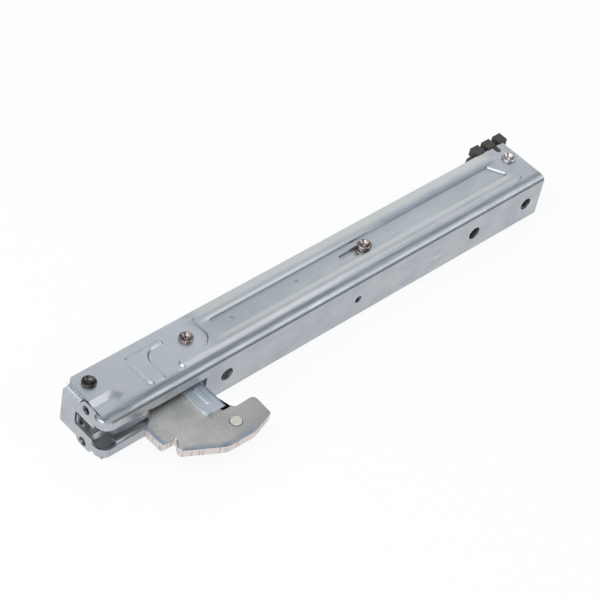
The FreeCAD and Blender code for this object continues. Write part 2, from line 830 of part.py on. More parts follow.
def hook_arm():
    body = new_body("hook_arm")
    rim_x, rim_y = "cos(hub_lean)", "sin(hub_lean)"
    order = ("heel", "tooth_tip", "notch_root", "claw_back", "claw_foot", "belly_start", "belly_end", "nose_low",
             "nose_high", "saddle", "bump", "latch_seat", "arm_root", "waist")
    corners = relief_of(order) + [
        (f"{CRANK_X} + lug_radius * {rim_x}", f"{CRANK_Y} + lug_radius * {rim_y}"),
        (f"pivot_x + hub_radius * {rim_x}", f"pivot_y + hub_radius * {rim_y}"),
        ("pivot_x", "pivot_y"),
        ("pivot_x + hub_radius * cos(neck_lean)", "pivot_y - hub_radius * sin(neck_lean)"),
    ] + relief_of(("hollow", "recess"))
    pad(body, outline(sketch_on(body), corners), "arm_thick")
    pad(body, circle(sketch_on(body), "pivot_x", "pivot_y", "hub_radius"), "arm_thick")
    pad(body, circle(sketch_on(body), CRANK_X, CRANK_Y, "lug_radius"), "arm_thick")
    holes = sketch_on(body)
    circle(holes, "pivot_x", "pivot_y", "rivet_shank + pin_play")
    circle(holes, CRANK_X, CRANK_Y, "crank_pin")
    circle(holes, "claw_pin_x", "claw_pin_y", "claw_pin_radius")
    circle(holes, "latch_pin_x", "latch_pin_y", "latch_pin")
    pocket(body, holes, "2 * arm_thick")
    return place(body)


def latch():
    """A strap folded round the edge of the arm, with a stiffening bead in each leg."""
    body = new_body("latch")
    inner = f"({ARM_HALF} + latch_gap)"
    outer = f"({ARM_HALF} + latch_gap + latch_sheet)"
    strap = outline(sketch_on(body, "XZ_Plane"), [
        ("latch_left", outer),
        ("latch_right", outer, "latch_fold"),
        ("latch_right", "0 - " + outer, "latch_fold"),
        ("latch_left", "0 - " + outer),
        ("latch_left", "0 - " + inner),
        ("latch_right - latch_sheet", "0 - " + inner, "latch_fold - latch_sheet"),
        ("latch_right - latch_sheet", inner, "latch_fold - latch_sheet"),
        ("latch_left", inner),
    ])
    pad(body, strap, "2 * (latch_end + latch_round)")
    crown = "(latch_right - latch_left) / 2"
    trim = rectangle(sketch_on(body), "latch_left - latch_end", "0 - 2 * latch_end",
                     "latch_right + latch_end", "2 * latch_end")
    outline(trim, [
        ("latch_left", "0 - latch_end", "latch_round"),
        ("latch_right", "0 - latch_end"),
        ("latch_right", f"latch_pin_y + {crown}", f"{crown} - clip_play"),
        ("latch_left", f"latch_pin_y + {crown}", f"{crown} - clip_play"),
    ])
    pocket(body, trim, "2 * latch_end")
    for side in (1, -1):
        for kind, level in (("Pad", outer), ("Pocket", inner)):
            bead = sketch_on(body, "XY_Plane", f"{side} * {level}")
            stadium(bead, ("bead_along", "0 - bead_start"), ("bead_along", "0 - bead_end"), "bead_half")
            away = side > 0 if kind == "Pad" else side < 0
            feature(body, kind, bead, "bead_height", False, not away, "0 - bead_slope")
    pocket(body, circle(sketch_on(body), "latch_pin_x", "latch_pin_y", "latch_pin + pin_play"), "2 * latch_end")
    return place(body)


# Pull links

RISE = f"((crank_x - crank_y) * (slot_pin_x - {TRAVEL} - roller_x) / (slot_pin_x - {CRANK_X}))"
RAMP = f"({RISE} / {TRAVEL})"


def ramp_at(along):
    """Height of the link's ramp, which just clears the guide roller all along it."""
    clear = f"(roller_radius + roller_gap) * sqrt(1 + {RAMP} ^ 2)"
    return f"roller_y - {clear} + {RAMP} * ({along} - roller_x)"


def pull_link(label, side):
    """One of the two flat links between the arm's crank pin and the slot pin."""
    body = new_body(label)
    level = f"{side} * (link_inner + link_thick / 2)"
    drift = "(sqrt(2) - 1) / 2"
    eye_x = f"({CRANK_X} + {drift} * (crank_x - crank_y))"
    eye_y = f"({CRANK_Y} - {drift} * (crank_x + crank_y))"
    blade = outline(sketch_on(body, "XY_Plane", level), [
        (eye_x, eye_y),
        (eye_x, f"{eye_y} - link_eye"),
        ("link_shoulder", "link_low", "link_round"),
        ("slot_pin_x", "slot_pin_y - link_end_eye"),
        ("slot_pin_x", "slot_pin_y + link_end_eye"),
        ("ramp_end + link_round", "link_high", "link_round"),
        ("ramp_end", ramp_at("ramp_end"), "link_round"),
        ("roller_x - link_round", ramp_at("roller_x - link_round"), "link_round"),
        ("link_shoulder", "link_waist", "link_round"),
        (CRANK_X, CRANK_Y),
    ])
    pad(body, blade, "link_thick")
    eye = stadium(sketch_on(body, "XY_Plane", level), (CRANK_X, CRANK_Y), (eye_x, eye_y), "link_eye")
    pad(body, eye, "link_thick")
    end = circle(sketch_on(body, "XY_Plane", level), "slot_pin_x", "slot_pin_y", "link_end_eye")
    pad(body, end, "link_thick")
    holes = sketch_on(body, "XY_Plane", level)
    stadium(holes, (CRANK_X, CRANK_Y), (eye_x, eye_y), "crank_pin + link_slack")
    circle(holes, "slot_pin_x", "slot_pin_y", "slot_pin + pin_play")
    circle(holes, "tie_along", "tie_across", "tie_shank")
    pocket(body, holes, "2 * link_thick")
    return place(body)


# Tension spring

def wire_through(label, places):
    """A wire drawn through flat-sided sections. Each place is (x, y, z, yaw, pitch, roll)."""
    sections = []
    for x, y, z, yaw, pitch, roll in places:
        section = DOC.addObject("Part::RegularPolygon", label + "_section")
        section.Polygon = WIRE_SIDES
        bind(section, "Circumradius", "wire_radius * section_swell")
        bind(section, "Placement", f"placement(vector({x}; {y}; {z}); rotation({yaw}; {pitch}; {roll}))")
        sections.append(section)
    wire = DOC.addObject("Part::Loft", label)
    wire.Label = label
    wire.Sections = sections
    wire.Solid = True
    wire.Ruled = True
    return wire


def tension_spring():
    """A close coil with a hook at each end, drawn along its own axis from the slot pin.

    The wire starts at the tip of the near hook, runs round the slot pin's spool, turns out of
    the hook's plane into the coil, and leaves it the same way for the anchor's spool.
    """
    spread_x = f"({ANCHOR_X} - slot_pin_x)"
    spread_y = "(anchor_y - slot_pin_y)"
    span = f"sqrt({spread_x} ^ 2 + {spread_y} ^ 2)"
    coil_length = "(coil_pitch * coil_turns)"
    coil_start = f"(({span} - {coil_length}) / 2)"
    coil_end = f"(({span} + {coil_length}) / 2)"
    near_hook = "(coil_radius - wire_radius - spool_groove - hook_slack)"
    far_hook = f"({span} - {near_hook})"

    def loop_section(centre, away, angle):
        return (f"coil_radius * cos({angle})", "0", f"{centre} + {away} * coil_radius * sin({angle})",
                "0", f"0 - {away} * {angle}", "0")

    def elbow_section(corner, away, angle):
        """Away is -1 where the wire comes from the hook and 1 where it goes to the other one."""
        return ("coil_radius", f"0 - {away} * elbow_radius * (1 - cos({angle}))",
                f"{corner} + {away} * elbow_radius * (1 - sin({angle}))", "0", "0", f"0 - {angle}")

    def coil_section(share):
        skipped = "(elbow_radius / coil_radius * 180 / pi)"
        angle = f"({skipped} + (360 * round(coil_turns) - 2 * {skipped}) * {share})"
        return (f"coil_radius * cos({angle})", f"coil_radius * sin({angle})",
                f"{coil_start} + {coil_length} * {share}", angle, "0", "0 - 90")

    loop_angles = [180 * step / LOOP_STEPS for step in range(LOOP_STEPS + 1)]
    elbow_angles = [90 * step / ELBOW_STEPS for step in range(ELBOW_STEPS)]
    steps = round(value("coil_turns")) * TURN_STEPS
    places = [("0 - coil_radius", "0", f"{near_hook} + hook_tail", "0", "180", "0")]
    places += [loop_section(near_hook, -1, angle) for angle in reversed(loop_angles)]
    places += [elbow_section(coil_start, -1, angle) for angle in elbow_angles]
    places += [coil_section(f"{step} / {steps}") for step in range(steps + 1)]
    places += [elbow_section(coil_end, 1, angle) for angle in reversed(elbow_angles)]
    places += [loop_section(far_hook, 1, angle) for angle in loop_angles]
    places.append(("0 - coil_radius", "0", f"{far_hook} - hook_tail", "0", "0 - 180", "0"))
    spring = wire_through("tension_spring", places)
    lie_down = FreeCAD.Rotation(FreeCAD.Vector(0, 1, 0), 90)
    lean = FreeCAD.Rotation(FreeCAD.Vector(0, 0, 1), value(f"atan2({spread_y}; {spread_x})"))
    spring.Placement.Rotation = lean.multiply(lie_down).multiply(FreeCAD.Rotation(FreeCAD.Vector(0, 0, 1), 90))
    bind(spring, "Placement.Base.x", f"slot_pin_x - {FRAME_X}")
    bind(spring, "Placement.Base.y", f"slot_pin_y - {FRAME_Y}")
    bind(spring, "Placement.Base.z", FRAME_Z)
    SUBPARTS.append(spring)


channel()
end_clip()
rivet("pivot_rivet", "pivot_x", "pivot_y")
rivet("roller_rivet", "roller_x", "roller_y")
rivet("anchor_rivet", ANCHOR_X, "anchor_y")
hook_arm()
turned("claw_pin", [
    ("0", f"0 - {ARM_HALF} - claw_pin_proud"),
    ("claw_pin_radius", f"0 - {ARM_HALF} - claw_pin_proud"),
    ("claw_pin_radius", f"{ARM_HALF} + claw_pin_proud"),
    ("0", f"{ARM_HALF} + claw_pin_proud"),
], "claw_pin_x", "claw_pin_y")
flanged_pin("link_pin", "crank_pin", "crank_head", f"({LINK_OUTER} + side_play)",
            f"({LINK_OUTER} + side_play + crank_head_width)", CRANK_X, CRANK_Y)
latch()
LATCH_OUTER = f"({ARM_HALF} + latch_gap + latch_sheet)"
flanged_pin("latch_pin", "latch_pin", "latch_head", f"({LATCH_OUTER} + side_play)",
            f"({LATCH_OUTER} + side_play + latch_head_width)", "latch_pin_x", "latch_pin_y")
sleeve("guide_roller", "rivet_shank + pin_play", "roller_radius", f"0 - {LINK_OUTER} - roller_overhang",
       f"{LINK_OUTER} + roller_overhang", "roller_x", "roller_y")
spool("anchor_spool", "rivet_shank", "(spool_groove_half + spool_flange_width)", "spool_body", INSIDE,
      ANCHOR_X, "anchor_y")
spool("slot_spool", "slot_pin", "(link_inner - side_play)", None, "(link_inner - side_play)",
      "slot_pin_x", "slot_pin_y")
slot_pin()
sleeve("link_tie_sleeve", "tie_shank", "tie_radius", "0 - link_inner", "link_inner", "tie_along", "tie_across")
flanged_pin("link_tie_rivet", "tie_shank", "tie_radius", LINK_OUTER, f"({LINK_OUTER} + tie_head)",
            "tie_along", "tie_across")
for word, side in (("upper", 1), ("lower", -1)):
    pivot_bush("pivot_bush_" + word, side)
    sleeve("roller_spacer_" + word, "rivet_shank", "spacer_radius",
           f"{side} * ({LINK_OUTER} + roller_overhang + side_play)", f"{side} * {INSIDE}", "roller_x", "roller_y")
    sleeve("link_washer_" + word, "crank_pin", "crank_head", f"{side} * {ARM_HALF}",
           f"{side} * (link_inner - side_play)", CRANK_X, CRANK_Y)
    pull_link("pull_link_" + word, side)
    slot_spacer("slot_spacer_" + word, side)
tension_spring()

# Finish

DOC.recompute()
for thing in DOC.Objects:
    if "Invalid" in thing.State or "Error" in thing.State:
        raise SystemExit(f"{thing.Label} failed: {thing.State}")

os.makedirs("parts", exist_ok=True)
for piece in SUBPARTS:
    shape = piece.Shape
    if shape.isNull() or not shape.isValid():
        raise SystemExit(f"{piece.Label} has no valid shape")
    shape.exportStep(f"parts/{piece.Label}.step")
    print(piece.Label, round(shape.Volume, 1), len(shape.Solids), shape.BoundBox)
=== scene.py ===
# %% [markdown]
# # Looks for an oven door hinge
# The metal hinge arrives as a finished frame of solids, already in metres and in place.
# This lesson gives each of its pieces the finish that the real one has, with light and shade
# painted onto the channel, the arm and the collars, and makes new pieces only where a surface
# needs more shape than the solids carry.

# %% Load the solids
import json
import math

import bpy
import numpy as np
from mathutils import Matrix, Vector


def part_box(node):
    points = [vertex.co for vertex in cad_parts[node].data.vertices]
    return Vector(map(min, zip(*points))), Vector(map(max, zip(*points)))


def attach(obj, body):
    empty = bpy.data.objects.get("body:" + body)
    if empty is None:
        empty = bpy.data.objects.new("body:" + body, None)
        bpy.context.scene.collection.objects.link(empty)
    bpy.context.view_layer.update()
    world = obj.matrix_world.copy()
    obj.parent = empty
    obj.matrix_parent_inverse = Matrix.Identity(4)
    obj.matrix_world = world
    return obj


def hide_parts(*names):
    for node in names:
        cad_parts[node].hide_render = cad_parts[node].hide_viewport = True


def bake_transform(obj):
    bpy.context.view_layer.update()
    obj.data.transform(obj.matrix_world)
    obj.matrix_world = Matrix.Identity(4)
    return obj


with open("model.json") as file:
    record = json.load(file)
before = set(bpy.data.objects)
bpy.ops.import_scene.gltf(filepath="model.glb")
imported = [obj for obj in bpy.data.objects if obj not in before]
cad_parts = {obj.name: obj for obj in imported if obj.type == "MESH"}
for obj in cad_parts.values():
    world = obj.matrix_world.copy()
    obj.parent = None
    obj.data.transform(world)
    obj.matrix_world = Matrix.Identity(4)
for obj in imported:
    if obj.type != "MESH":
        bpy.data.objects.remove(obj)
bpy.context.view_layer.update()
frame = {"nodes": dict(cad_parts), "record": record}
nodes = frame["nodes"]
MM = 0.001

# %% [markdown]
# ## Camera
# A camera is a point, a direction and a roll. The hinge was looked at from its slotted
# end, from the web's side and from above, with a long lens, so its far end hardly
# shrinks. The two directions below give the lens axis and what is up in the picture.

# %% Camera
EYE = Vector((-0.574062, -0.439738, 0.741934))
AHEAD = Vector((0.54839621, 0.44305649, -0.70919853)).normalized()
UP = Vector((0.40816706, 0.59838319, 0.68944703)).normalized()
LENS = 131.164

camera_data = bpy.data.cameras.new("camera")
camera_data.lens = LENS
camera_data.sensor_width = 36
camera_data.sensor_fit = "HORIZONTAL"
camera_data.clip_start = 0.05
camera = bpy.data.objects.new("camera", camera_data)
bpy.context.scene.collection.objects.link(camera)
right = AHEAD.cross(UP)
camera.matrix_world = Matrix.Translation(EYE) @ Matrix((right, UP, -AHEAD)).transposed().to_4x4()
bpy.context.scene.camera = camera
print("camera", round(EYE.length, 3), "m from the hinge")

# %% [markdown]
# ## Room
# Bright metal shows the room more than itself. The long fold between the upper side wall
# and the web turns through a quarter circle, so it mirrors a whole strip of the room, and
# in the picture that strip reads dark, bright, dark. One big lamp would make it one even
# stripe. So the room is rather dim, and a few long lamps stand where faces that lean one
# way mirror them into the camera: over the side wall, over its slopes, and over two parts
# of the fold. The web mirrors the pale floor. What only the camera sees, the white behind
# the hinge, comes from Light Path and lights nothing.

# %% Room helpers
scene = bpy.context.scene
scene.view_settings.view_transform = "Standard"


def node(tree, kind, inputs=None, **settings):
    """One shader node. Each input is a number, a colour, or the socket that feeds it."""
    made = tree.nodes.new(kind)
    for name, setting in settings.items():
        setattr(made, name, setting)
    for name, feed in (inputs or {}).items():
        if isinstance(feed, bpy.types.NodeSocket):
            tree.links.new(feed, made.inputs[name])
        else:
            made.inputs[name].default_value = feed
    return made


def maths(tree, operation, *feeds, **settings):
    """The result of one Math node, worked out from up to three numbers or sockets."""
    return node(tree, "ShaderNodeMath", dict(enumerate(feeds)), operation=operation, **settings).outputs[0]


def softbox(name, place, aim, size, power):
    """A large rectangular lamp at one place, facing another."""
    data = bpy.data.lights.new(name, "AREA")
    data.shape = "RECTANGLE"
    data.size, data.size_y = size
    data.energy = power
    lamp = bpy.data.objects.new(name, data)
    scene.collection.objects.link(lamp)
    lamp.location = place
    lamp.rotation_euler = (Vector(aim) - Vector(place)).to_track_quat("-Z", "Y").to_euler()
    return lamp


# %% Sky and floor
SKY = (0.78, 0.83, 0.90, 1)
SKY_STRENGTH = 0.34
WHITE = (1, 1, 1, 1)
PAPER = (0.86, 0.87, 0.88, 1)
PAPER_HALF = 3.0
PAPER_GLOW = 0.90
PAPER_MIRRORED = 0.72

world = bpy.data.worlds.new("room")
scene.world = world
world.use_nodes = True
sky = world.node_tree
sky.nodes.clear()
path = node(sky, "ShaderNodeLightPath")
room = node(sky, "ShaderNodeBackground", {"Color": SKY, "Strength": SKY_STRENGTH})
backdrop = node(sky, "ShaderNodeBackground", {"Color": WHITE, "Strength": 1.0})
seen = node(sky, "ShaderNodeMixShader",
            {0: path.outputs["Is Camera Ray"], 1: room.outputs[0], 2: backdrop.outputs[0]})
node(sky, "ShaderNodeOutputWorld", {"Surface": seen.outputs[0]})

floor_mesh = bpy.data.meshes.new("floor")
floor_corners = [(x * PAPER_HALF, y * PAPER_HALF, 0) for x, y in ((-1, -1), (1, -1), (1, 1), (-1, 1))]
floor_mesh.from_pydata(floor_corners, [], [(0, 1, 2, 3)])
floor = bpy.data.objects.new("floor", floor_mesh)
scene.collection.objects.link(floor)
paper = bpy.data.materials.new("paper")
paper.use_nodes = True
sheet = paper.node_tree
sheet.nodes.clear()
path = node(sheet, "ShaderNodeLightPath")
matte = node(sheet, "ShaderNodeBsdfDiffuse", {"Color": PAPER})
glow = node(sheet, "ShaderNodeEmission", {"Color": WHITE, "Strength": 1.0})
mirrored = maths(sheet, "MULTIPLY", path.outputs["Is Glossy Ray"], PAPER_MIRRORED)
share = maths(sheet, "MULTIPLY_ADD", path.outputs["Is Camera Ray"], PAPER_GLOW, mirrored)
lit = node(sheet, "ShaderNodeMixShader", {0: share, 1: matte.outputs[0], 2: glow.outputs[0]})
node(sheet, "ShaderNodeOutputMaterial", {"Surface": lit.outputs[0]})
floor_mesh.materials.append(paper)
print("floor", 2 * PAPER_HALF, "m wide")

# %% Lamps
LAMP_AIM = (0, 0, 0.01)

# The dark parts of the fold's strip also carry painted shade, from the Streak and Line marks in the
# channel's finish.
# The normal of the faces that mirror each lamp, then its distance, its size and its power.
LAMPS_IN_MIRROR = {
    "over_the_wall": ((0, 0, 1), 1.6, (1.3, 0.9), 1.9),
    "over_the_slopes": ((0, -0.42, 0.907), 1.5, (1.3, 0.6), 2.8),
    "over_the_fold": ((0, -0.66, 0.75), 1.5, (0.9, 0.5), 3.0),
    "along_the_fold": ((0, -0.88, 0.47), 1.5, (1.6, 0.3), 2.6),
    "end_slopes": ((-0.761, -0.448, 0.469), 1.4, (0.8, 0.5), 5),
    "hook_slopes": ((-0.60, 0, 0.80), 1.4, (1.0, 0.6), 3.5),
}

# The place of each other lamp, the point that it faces, its size and its power.
OTHER_LAMPS = {
    "key": ((-0.7, -0.3, 1.3), (0, 0, 0), (0.9, 0.7), 9),
    "end_side": ((-1.3, 0.1, 0.35), (0, 0, 0.02), (0.8, 0.4), 5),
    "clip_side": ((0.9, 1.0, 0.6), (0, 0, 0), (0.8, 0.5), 2.5),
}


def mirror_way(normal):
    """The way in which a face with this normal mirrors the camera's view."""
    face = Vector(normal).normalized()
    return AHEAD - 2 * AHEAD.dot(face) * face


for name, (normal, distance, size, power) in LAMPS_IN_MIRROR.items():
    softbox(name, mirror_way(normal) * distance, LAMP_AIM, size, power)
for name, (place, aim, size, power) in OTHER_LAMPS.items():
    softbox(name, place, aim, size, power)
print("lamps", len(LAMPS_IN_MIRROR) + len(OTHER_LAMPS))

# %% [markdown]
# ## Finishes
# Zinc, plated steel and drawn wire are all metals whose colour hardly changes, but whose
# gloss does. Three shader groups carry what differs. One gives rolled lines, blotches and
# fine scratches. The second tells the rolled faces of a blank from its sheared edges and
# from the rounded rim between them, by how far a face leans, because a press leaves the
# three with different colours. The third paints light and shade onto the channel, by place
# and lean: painted highlights on the crests, the corner step and a line by the field, and
# painted shade in a streak and a line by the fold and in the sunk panel. A painted texture
# could do the same, but masks made from numbers stay sharp and move with the part.

# %% Helpers for shader groups
def new_group(name, inputs, outputs):
    """An empty shader group with named sockets. Each socket is (name, kind, default)."""
    tree = bpy.data.node_groups.new(name, "ShaderNodeTree")
    for in_out, sockets in (("INPUT", inputs), ("OUTPUT", outputs)):
        for label, kind, default in sockets:
            socket = tree.interface.new_socket(label, in_out=in_out, socket_type="NodeSocket" + kind)
            if default is not None:
                socket.default_value = default
    return tree, node(tree, "NodeGroupInput"), node(tree, "NodeGroupOutput")


def blend_colour(tree, share, first, second):
    """A colour between two others. Each is a socket or a colour, and so is the share."""
    mix = tree.nodes.new("ShaderNodeMix")
    mix.data_type = "RGBA"
    for socket, source in ((mix.inputs[0], share), (mix.inputs[6], first), (mix.inputs[7], second)):
        if isinstance(source, bpy.types.NodeSocket):
            tree.links.new(source, socket)
        else:
            socket.default_value = source
    return mix.outputs[2]


def stretched_noise(tree, place, scale, detail, turn=(0, 0, 0)):
    """Noise whose grains are drawn out: scale gives grains per metre along each axis."""
    mapped = node(tree, "ShaderNodeMapping", {"Vector": place, "Rotation": turn, "Scale": scale})
    noise = node(tree, "ShaderNodeTexNoise", {"Vector": mapped.outputs[0], "Scale": 1.0, "Detail": detail})
    return noise.outputs[0]


def band(tree, value, low, high):
    """Nought below low, one above high, and a ramp between them."""
    return node(tree, "ShaderNodeMapRange", {"Value": value, "From Min": low, "From Max": high}).outputs[0]


def times(tree, product, *factors):
    """The product of two or more masks or numbers."""
    for factor in factors:
        product = maths(tree, "MULTIPLY", product, factor)
    return product


def within(tree, value, rise, full, fade, gone):
    """One between full and fade, and ramps down to nought at rise and gone."""
    return times(tree, band(tree, value, rise, full), band(tree, value, gone, fade))


def give(tree, out, results):
    """Link each result to the group's output of the same name."""
    for label, result in results.items():
        tree.links.new(result, out.inputs[label])
    return tree


# %% Shader group for worn metal
BLOTCH_SCALE, BLOTCH_BAND = (70, 90, 90), (0.36, 0.68)
GRAIN_SCALE, GRAIN_BAND = (1500, 1500, 1500), (0.35, 0.7)
LINES_SCALE = (14, 700, 700)
SCRATCH_SCALE, SCRATCH_TURN, SCRATCH_BAND = (40, 900, 300), (0.3, 0.2, 0.7), (0.66, 0.72)
SCRATCHED = (0.90, 0.91, 0.93, 1)
WEAR_ROUGHNESS = 0.16


def wear_group():
    """Colour, roughness and height of worn metal.

    The shade between its two colours is the sum of broad blotches, fine grains and rolled
    lines, each times its own share. Scratches lie over it, bright and a little sunk.
    """
    tree, given, out = new_group(
        "metal_wear",
        [("Base", "Color", (0.7, 0.7, 0.7, 1)), ("Dark", "Color", (0.5, 0.5, 0.5, 1)),
         ("Blotch", "Float", 0.5), ("Grain", "Float", 0.3), ("Lines", "Float", 0.5),
         ("Scratches", "Float", 0.3), ("Gloss", "Float", 0.35)],
        [("Color", "Color", None), ("Roughness", "Float", None), ("Height", "Float", None)])
    share = given.outputs
    place = node(tree, "ShaderNodeTexCoord").outputs["Object"]
    cloud = band(tree, stretched_noise(tree, place, BLOTCH_SCALE, 5.0), *BLOTCH_BAND)
    grain = band(tree, stretched_noise(tree, place, GRAIN_SCALE, 2.0), *GRAIN_BAND)
    lines = stretched_noise(tree, place, LINES_SCALE, 4.0)
    marks = band(tree, stretched_noise(tree, place, SCRATCH_SCALE, 2.0, SCRATCH_TURN), *SCRATCH_BAND)
    scratch = times(tree, marks, share["Scratches"])
    both = maths(tree, "ADD", times(tree, cloud, share["Blotch"]), times(tree, grain, share["Grain"]))
    shade = maths(tree, "ADD", both, times(tree, lines, share["Lines"]), use_clamp=True)
    tone = blend_colour(tree, shade, share["Base"], share["Dark"])
    return give(tree, out, {
        "Color": blend_colour(tree, scratch, tone, SCRATCHED),
        "Roughness": maths(tree, "MULTIPLY_ADD", shade, WEAR_ROUGHNESS, share["Gloss"]),
        "Height": maths(tree, "SUBTRACT", shade, scratch)})


# %% Shader group for blanked plate
TORN_SCALE, TORN_BAND = (900, 900, 120), (0.52, 0.70)
SIDE_BAND = (0.50, 0.22)
FLAT_BAND = (0.70, 0.998)


def blank_group():
    """Masks of a blanked plate: its sheared sides, the lines torn down them, and its rounded rim.

    How upright a face's normal stands tells a flat face, near one, from a side, near nought.
    """
    tree, given, out = new_group(
        "blank_faces", [], [("Side", "Float", None), ("Torn", "Float", None), ("Rim", "Float", None)])
    place = node(tree, "ShaderNodeTexCoord")
    way = node(tree, "ShaderNodeSeparateXYZ", {0: place.outputs["Normal"]})
    upright = maths(tree, "ABSOLUTE", way.outputs["Z"])
    torn = band(tree, stretched_noise(tree, place.outputs["Object"], TORN_SCALE, 3.0), *TORN_BAND)
    side = band(tree, upright, *SIDE_BAND)
    rim = maths(tree, "SUBTRACT", 1.0, band(tree, upright, *FLAT_BAND))
    return give(tree, out, {"Side": side, "Torn": times(tree, side, torn), "Rim": rim})


# %% Places of the painted light and shade
# Where each mark begins, is full, starts to fade and is gone, in metres from the web.
STREAK = (0.0020, 0.0030, 0.0044, 0.0053)
GLINT = (0.0048, 0.0057, 0.0062, 0.0080)
NEAR_CREST = (0.0082, 0.0098, 0.0108, 0.0120)
STEP = (0.0106, 0.0112, 0.0146, 0.0152)
HOLLOW = (0.0150, 0.0205, 0.0212, 0.0220)
SLOPE = (0.0208, 0.0217, 0.0228, 0.0240)

# The same for marks with one side only, where the first is nought and the second full.
FOLD_EDGE = (0.0031, 0.0029)
PLAIN = (0.0050, 0.0070)
FAR_CREST = (0.0243, 0.0262)

# Distances along the channel, in metres from the start of the raised field or to its end.
FIELD_RAMP = (0.0, 0.006)
BEFORE_FIELD = (0.0, -0.006)
IN_CORNER = (-0.053, -0.056)
GLINT_START = (-0.0255, -0.0225)
GLINT_END = (0.0, 0.003)
FAR_OFF = (0.060, 0.120)

# How far faces lean: part of the normal that points up, endwards, or towards the web.
WALL_UP = (0.80, 0.94)
NOT_ENDWARDS = (0.30, 0.15)
FOLD_LEAN = (0.78, 0.89, 0.93, 0.999)
STEP_LEAN = (0.12, 0.22, 0.34, 0.45)

STREAK_NOISE_SCALE, STREAK_NOISE_BAND = (60, 1400, 300), (0.22, 0.58)
PLAIN_SHARE = 0.5
GLINT_LOSS = -0.6
# The masks of painted light and shade on the channel, in the order that their colours go on.
PAINTED_LIGHT_MARKS = ("Streak", "Line", "Crest", "Hollow", "Slope", "Bright Slope", "Plain", "Step", "Glint")
print("press marks", len(PAINTED_LIGHT_MARKS))


# %% Shader group for painted light and shade
def painted_light_group():
    """Masks of the light and shade painted onto the channel, each a product of ramps of place and lean.

    Streak is a painted dark band beside each long fold, broken up by streaky noise, and Line a
    painted dark line along the fold itself. Crest is a painted highlight on the top of the raised
    field, Hollow painted shade on the far half of the sunk panel, and Slope painted shade on its
    far side towards the open end, where Bright Slope is a painted highlight nearer the start. Step
    is a painted highlight on the far side of the pressed-in corner, Plain a painted lighter tone on
    the smooth metal before the field, and Glint a painted bright line along the field's near side.
    """
    tree, given, out = new_group(
        "painted_light_marks", [("Web", "Float", 0.0), ("Field Start", "Float", 0.0), ("Field End", "Float", 0.0)],
        [(label, "Float", None) for label in PAINTED_LIGHT_MARKS])
    place = node(tree, "ShaderNodeTexCoord")
    spot = node(tree, "ShaderNodeSeparateXYZ", {0: place.outputs["Object"]}).outputs
    way = node(tree, "ShaderNodeSeparateXYZ", {0: place.outputs["Normal"]}).outputs
    across = maths(tree, "SUBTRACT", spot["Y"], given.outputs["Web"])
    from_start = maths(tree, "SUBTRACT", spot["X"], given.outputs["Field Start"])
    to_end = maths(tree, "SUBTRACT", given.outputs["Field End"], spot["X"])
    lean = maths(tree, "MULTIPLY", way["Y"], -1.0)
    on_wall = band(tree, maths(tree, "ABSOLUTE", way["Z"]), *WALL_UP)
    not_endwards = band(tree, maths(tree, "ABSOLUTE", way["X"]), *NOT_ENDWARDS)
    # Streaky noise that breaks up the painted dark band beside the fold.
    streak_noise = band(tree, stretched_noise(tree, place.outputs["Object"], STREAK_NOISE_SCALE, 4.0), *STREAK_NOISE_BAND)
    in_field = times(tree, band(tree, from_start, *FIELD_RAMP), band(tree, to_end, *FIELD_RAMP), on_wall)
    far_off = band(tree, from_start, *FAR_OFF)
    near_by = maths(tree, "SUBTRACT", 1.0, far_off)
    fainter = maths(tree, "MULTIPLY_ADD", far_off, GLINT_LOSS, 1.0)
    near_crest, far_crest = within(tree, across, *NEAR_CREST), band(tree, across, *FAR_CREST)
    crest = maths(tree, "ADD", near_crest, far_crest, use_clamp=True)
    slope = times(tree, within(tree, across, *SLOPE), in_field)
    glint_run = times(tree, band(tree, from_start, *GLINT_START), band(tree, to_end, *GLINT_END))
    before = times(tree, band(tree, from_start, *BEFORE_FIELD), on_wall, band(tree, across, *PLAIN))
    in_corner = times(tree, band(tree, from_start, *IN_CORNER), within(tree, across, *STEP))
    # Each mask places painted light or shade; the dark and light colours are set with the finish.
    return give(tree, out, {
        "Streak": times(tree, within(tree, across, *STREAK), on_wall, streak_noise),
        "Line": times(tree, within(tree, lean, *FOLD_LEAN), not_endwards, band(tree, across, *FOLD_EDGE)),
        "Crest": times(tree, crest, in_field),
        "Hollow": times(tree, within(tree, across, *HOLLOW), in_field),
        "Slope": times(tree, slope, far_off),
        "Bright Slope": times(tree, slope, near_by),
        "Plain": times(tree, before, PLAIN_SHARE),
        "Step": times(tree, in_corner, within(tree, lean, *STEP_LEAN)),
        "Glint": times(tree, within(tree, across, *GLINT), glint_run, fainter)})


WEAR = wear_group()
BLANK = blank_group()
PAINTED_LIGHT = painted_light_group()
print("shader groups", [group.name for group in (WEAR, BLANK, PAINTED_LIGHT)])


# %% Materials from the groups
# A torn line is this much as bright as the sheared side around it.
TORN = 0.55
RELIEF_DEPTH = 0.1 * MM
CLOUDY_SCALE, CLOUDY_BAND = (500, 500, 500), (0.15, 0.65)


def along(tree, place, way):
    """How far a place on the piece lies along one direction."""
    dot = node(tree, "ShaderNodeVectorMath", {0: place, 1: way}, operation="DOT_PRODUCT")
    return dot.outputs["Value"]


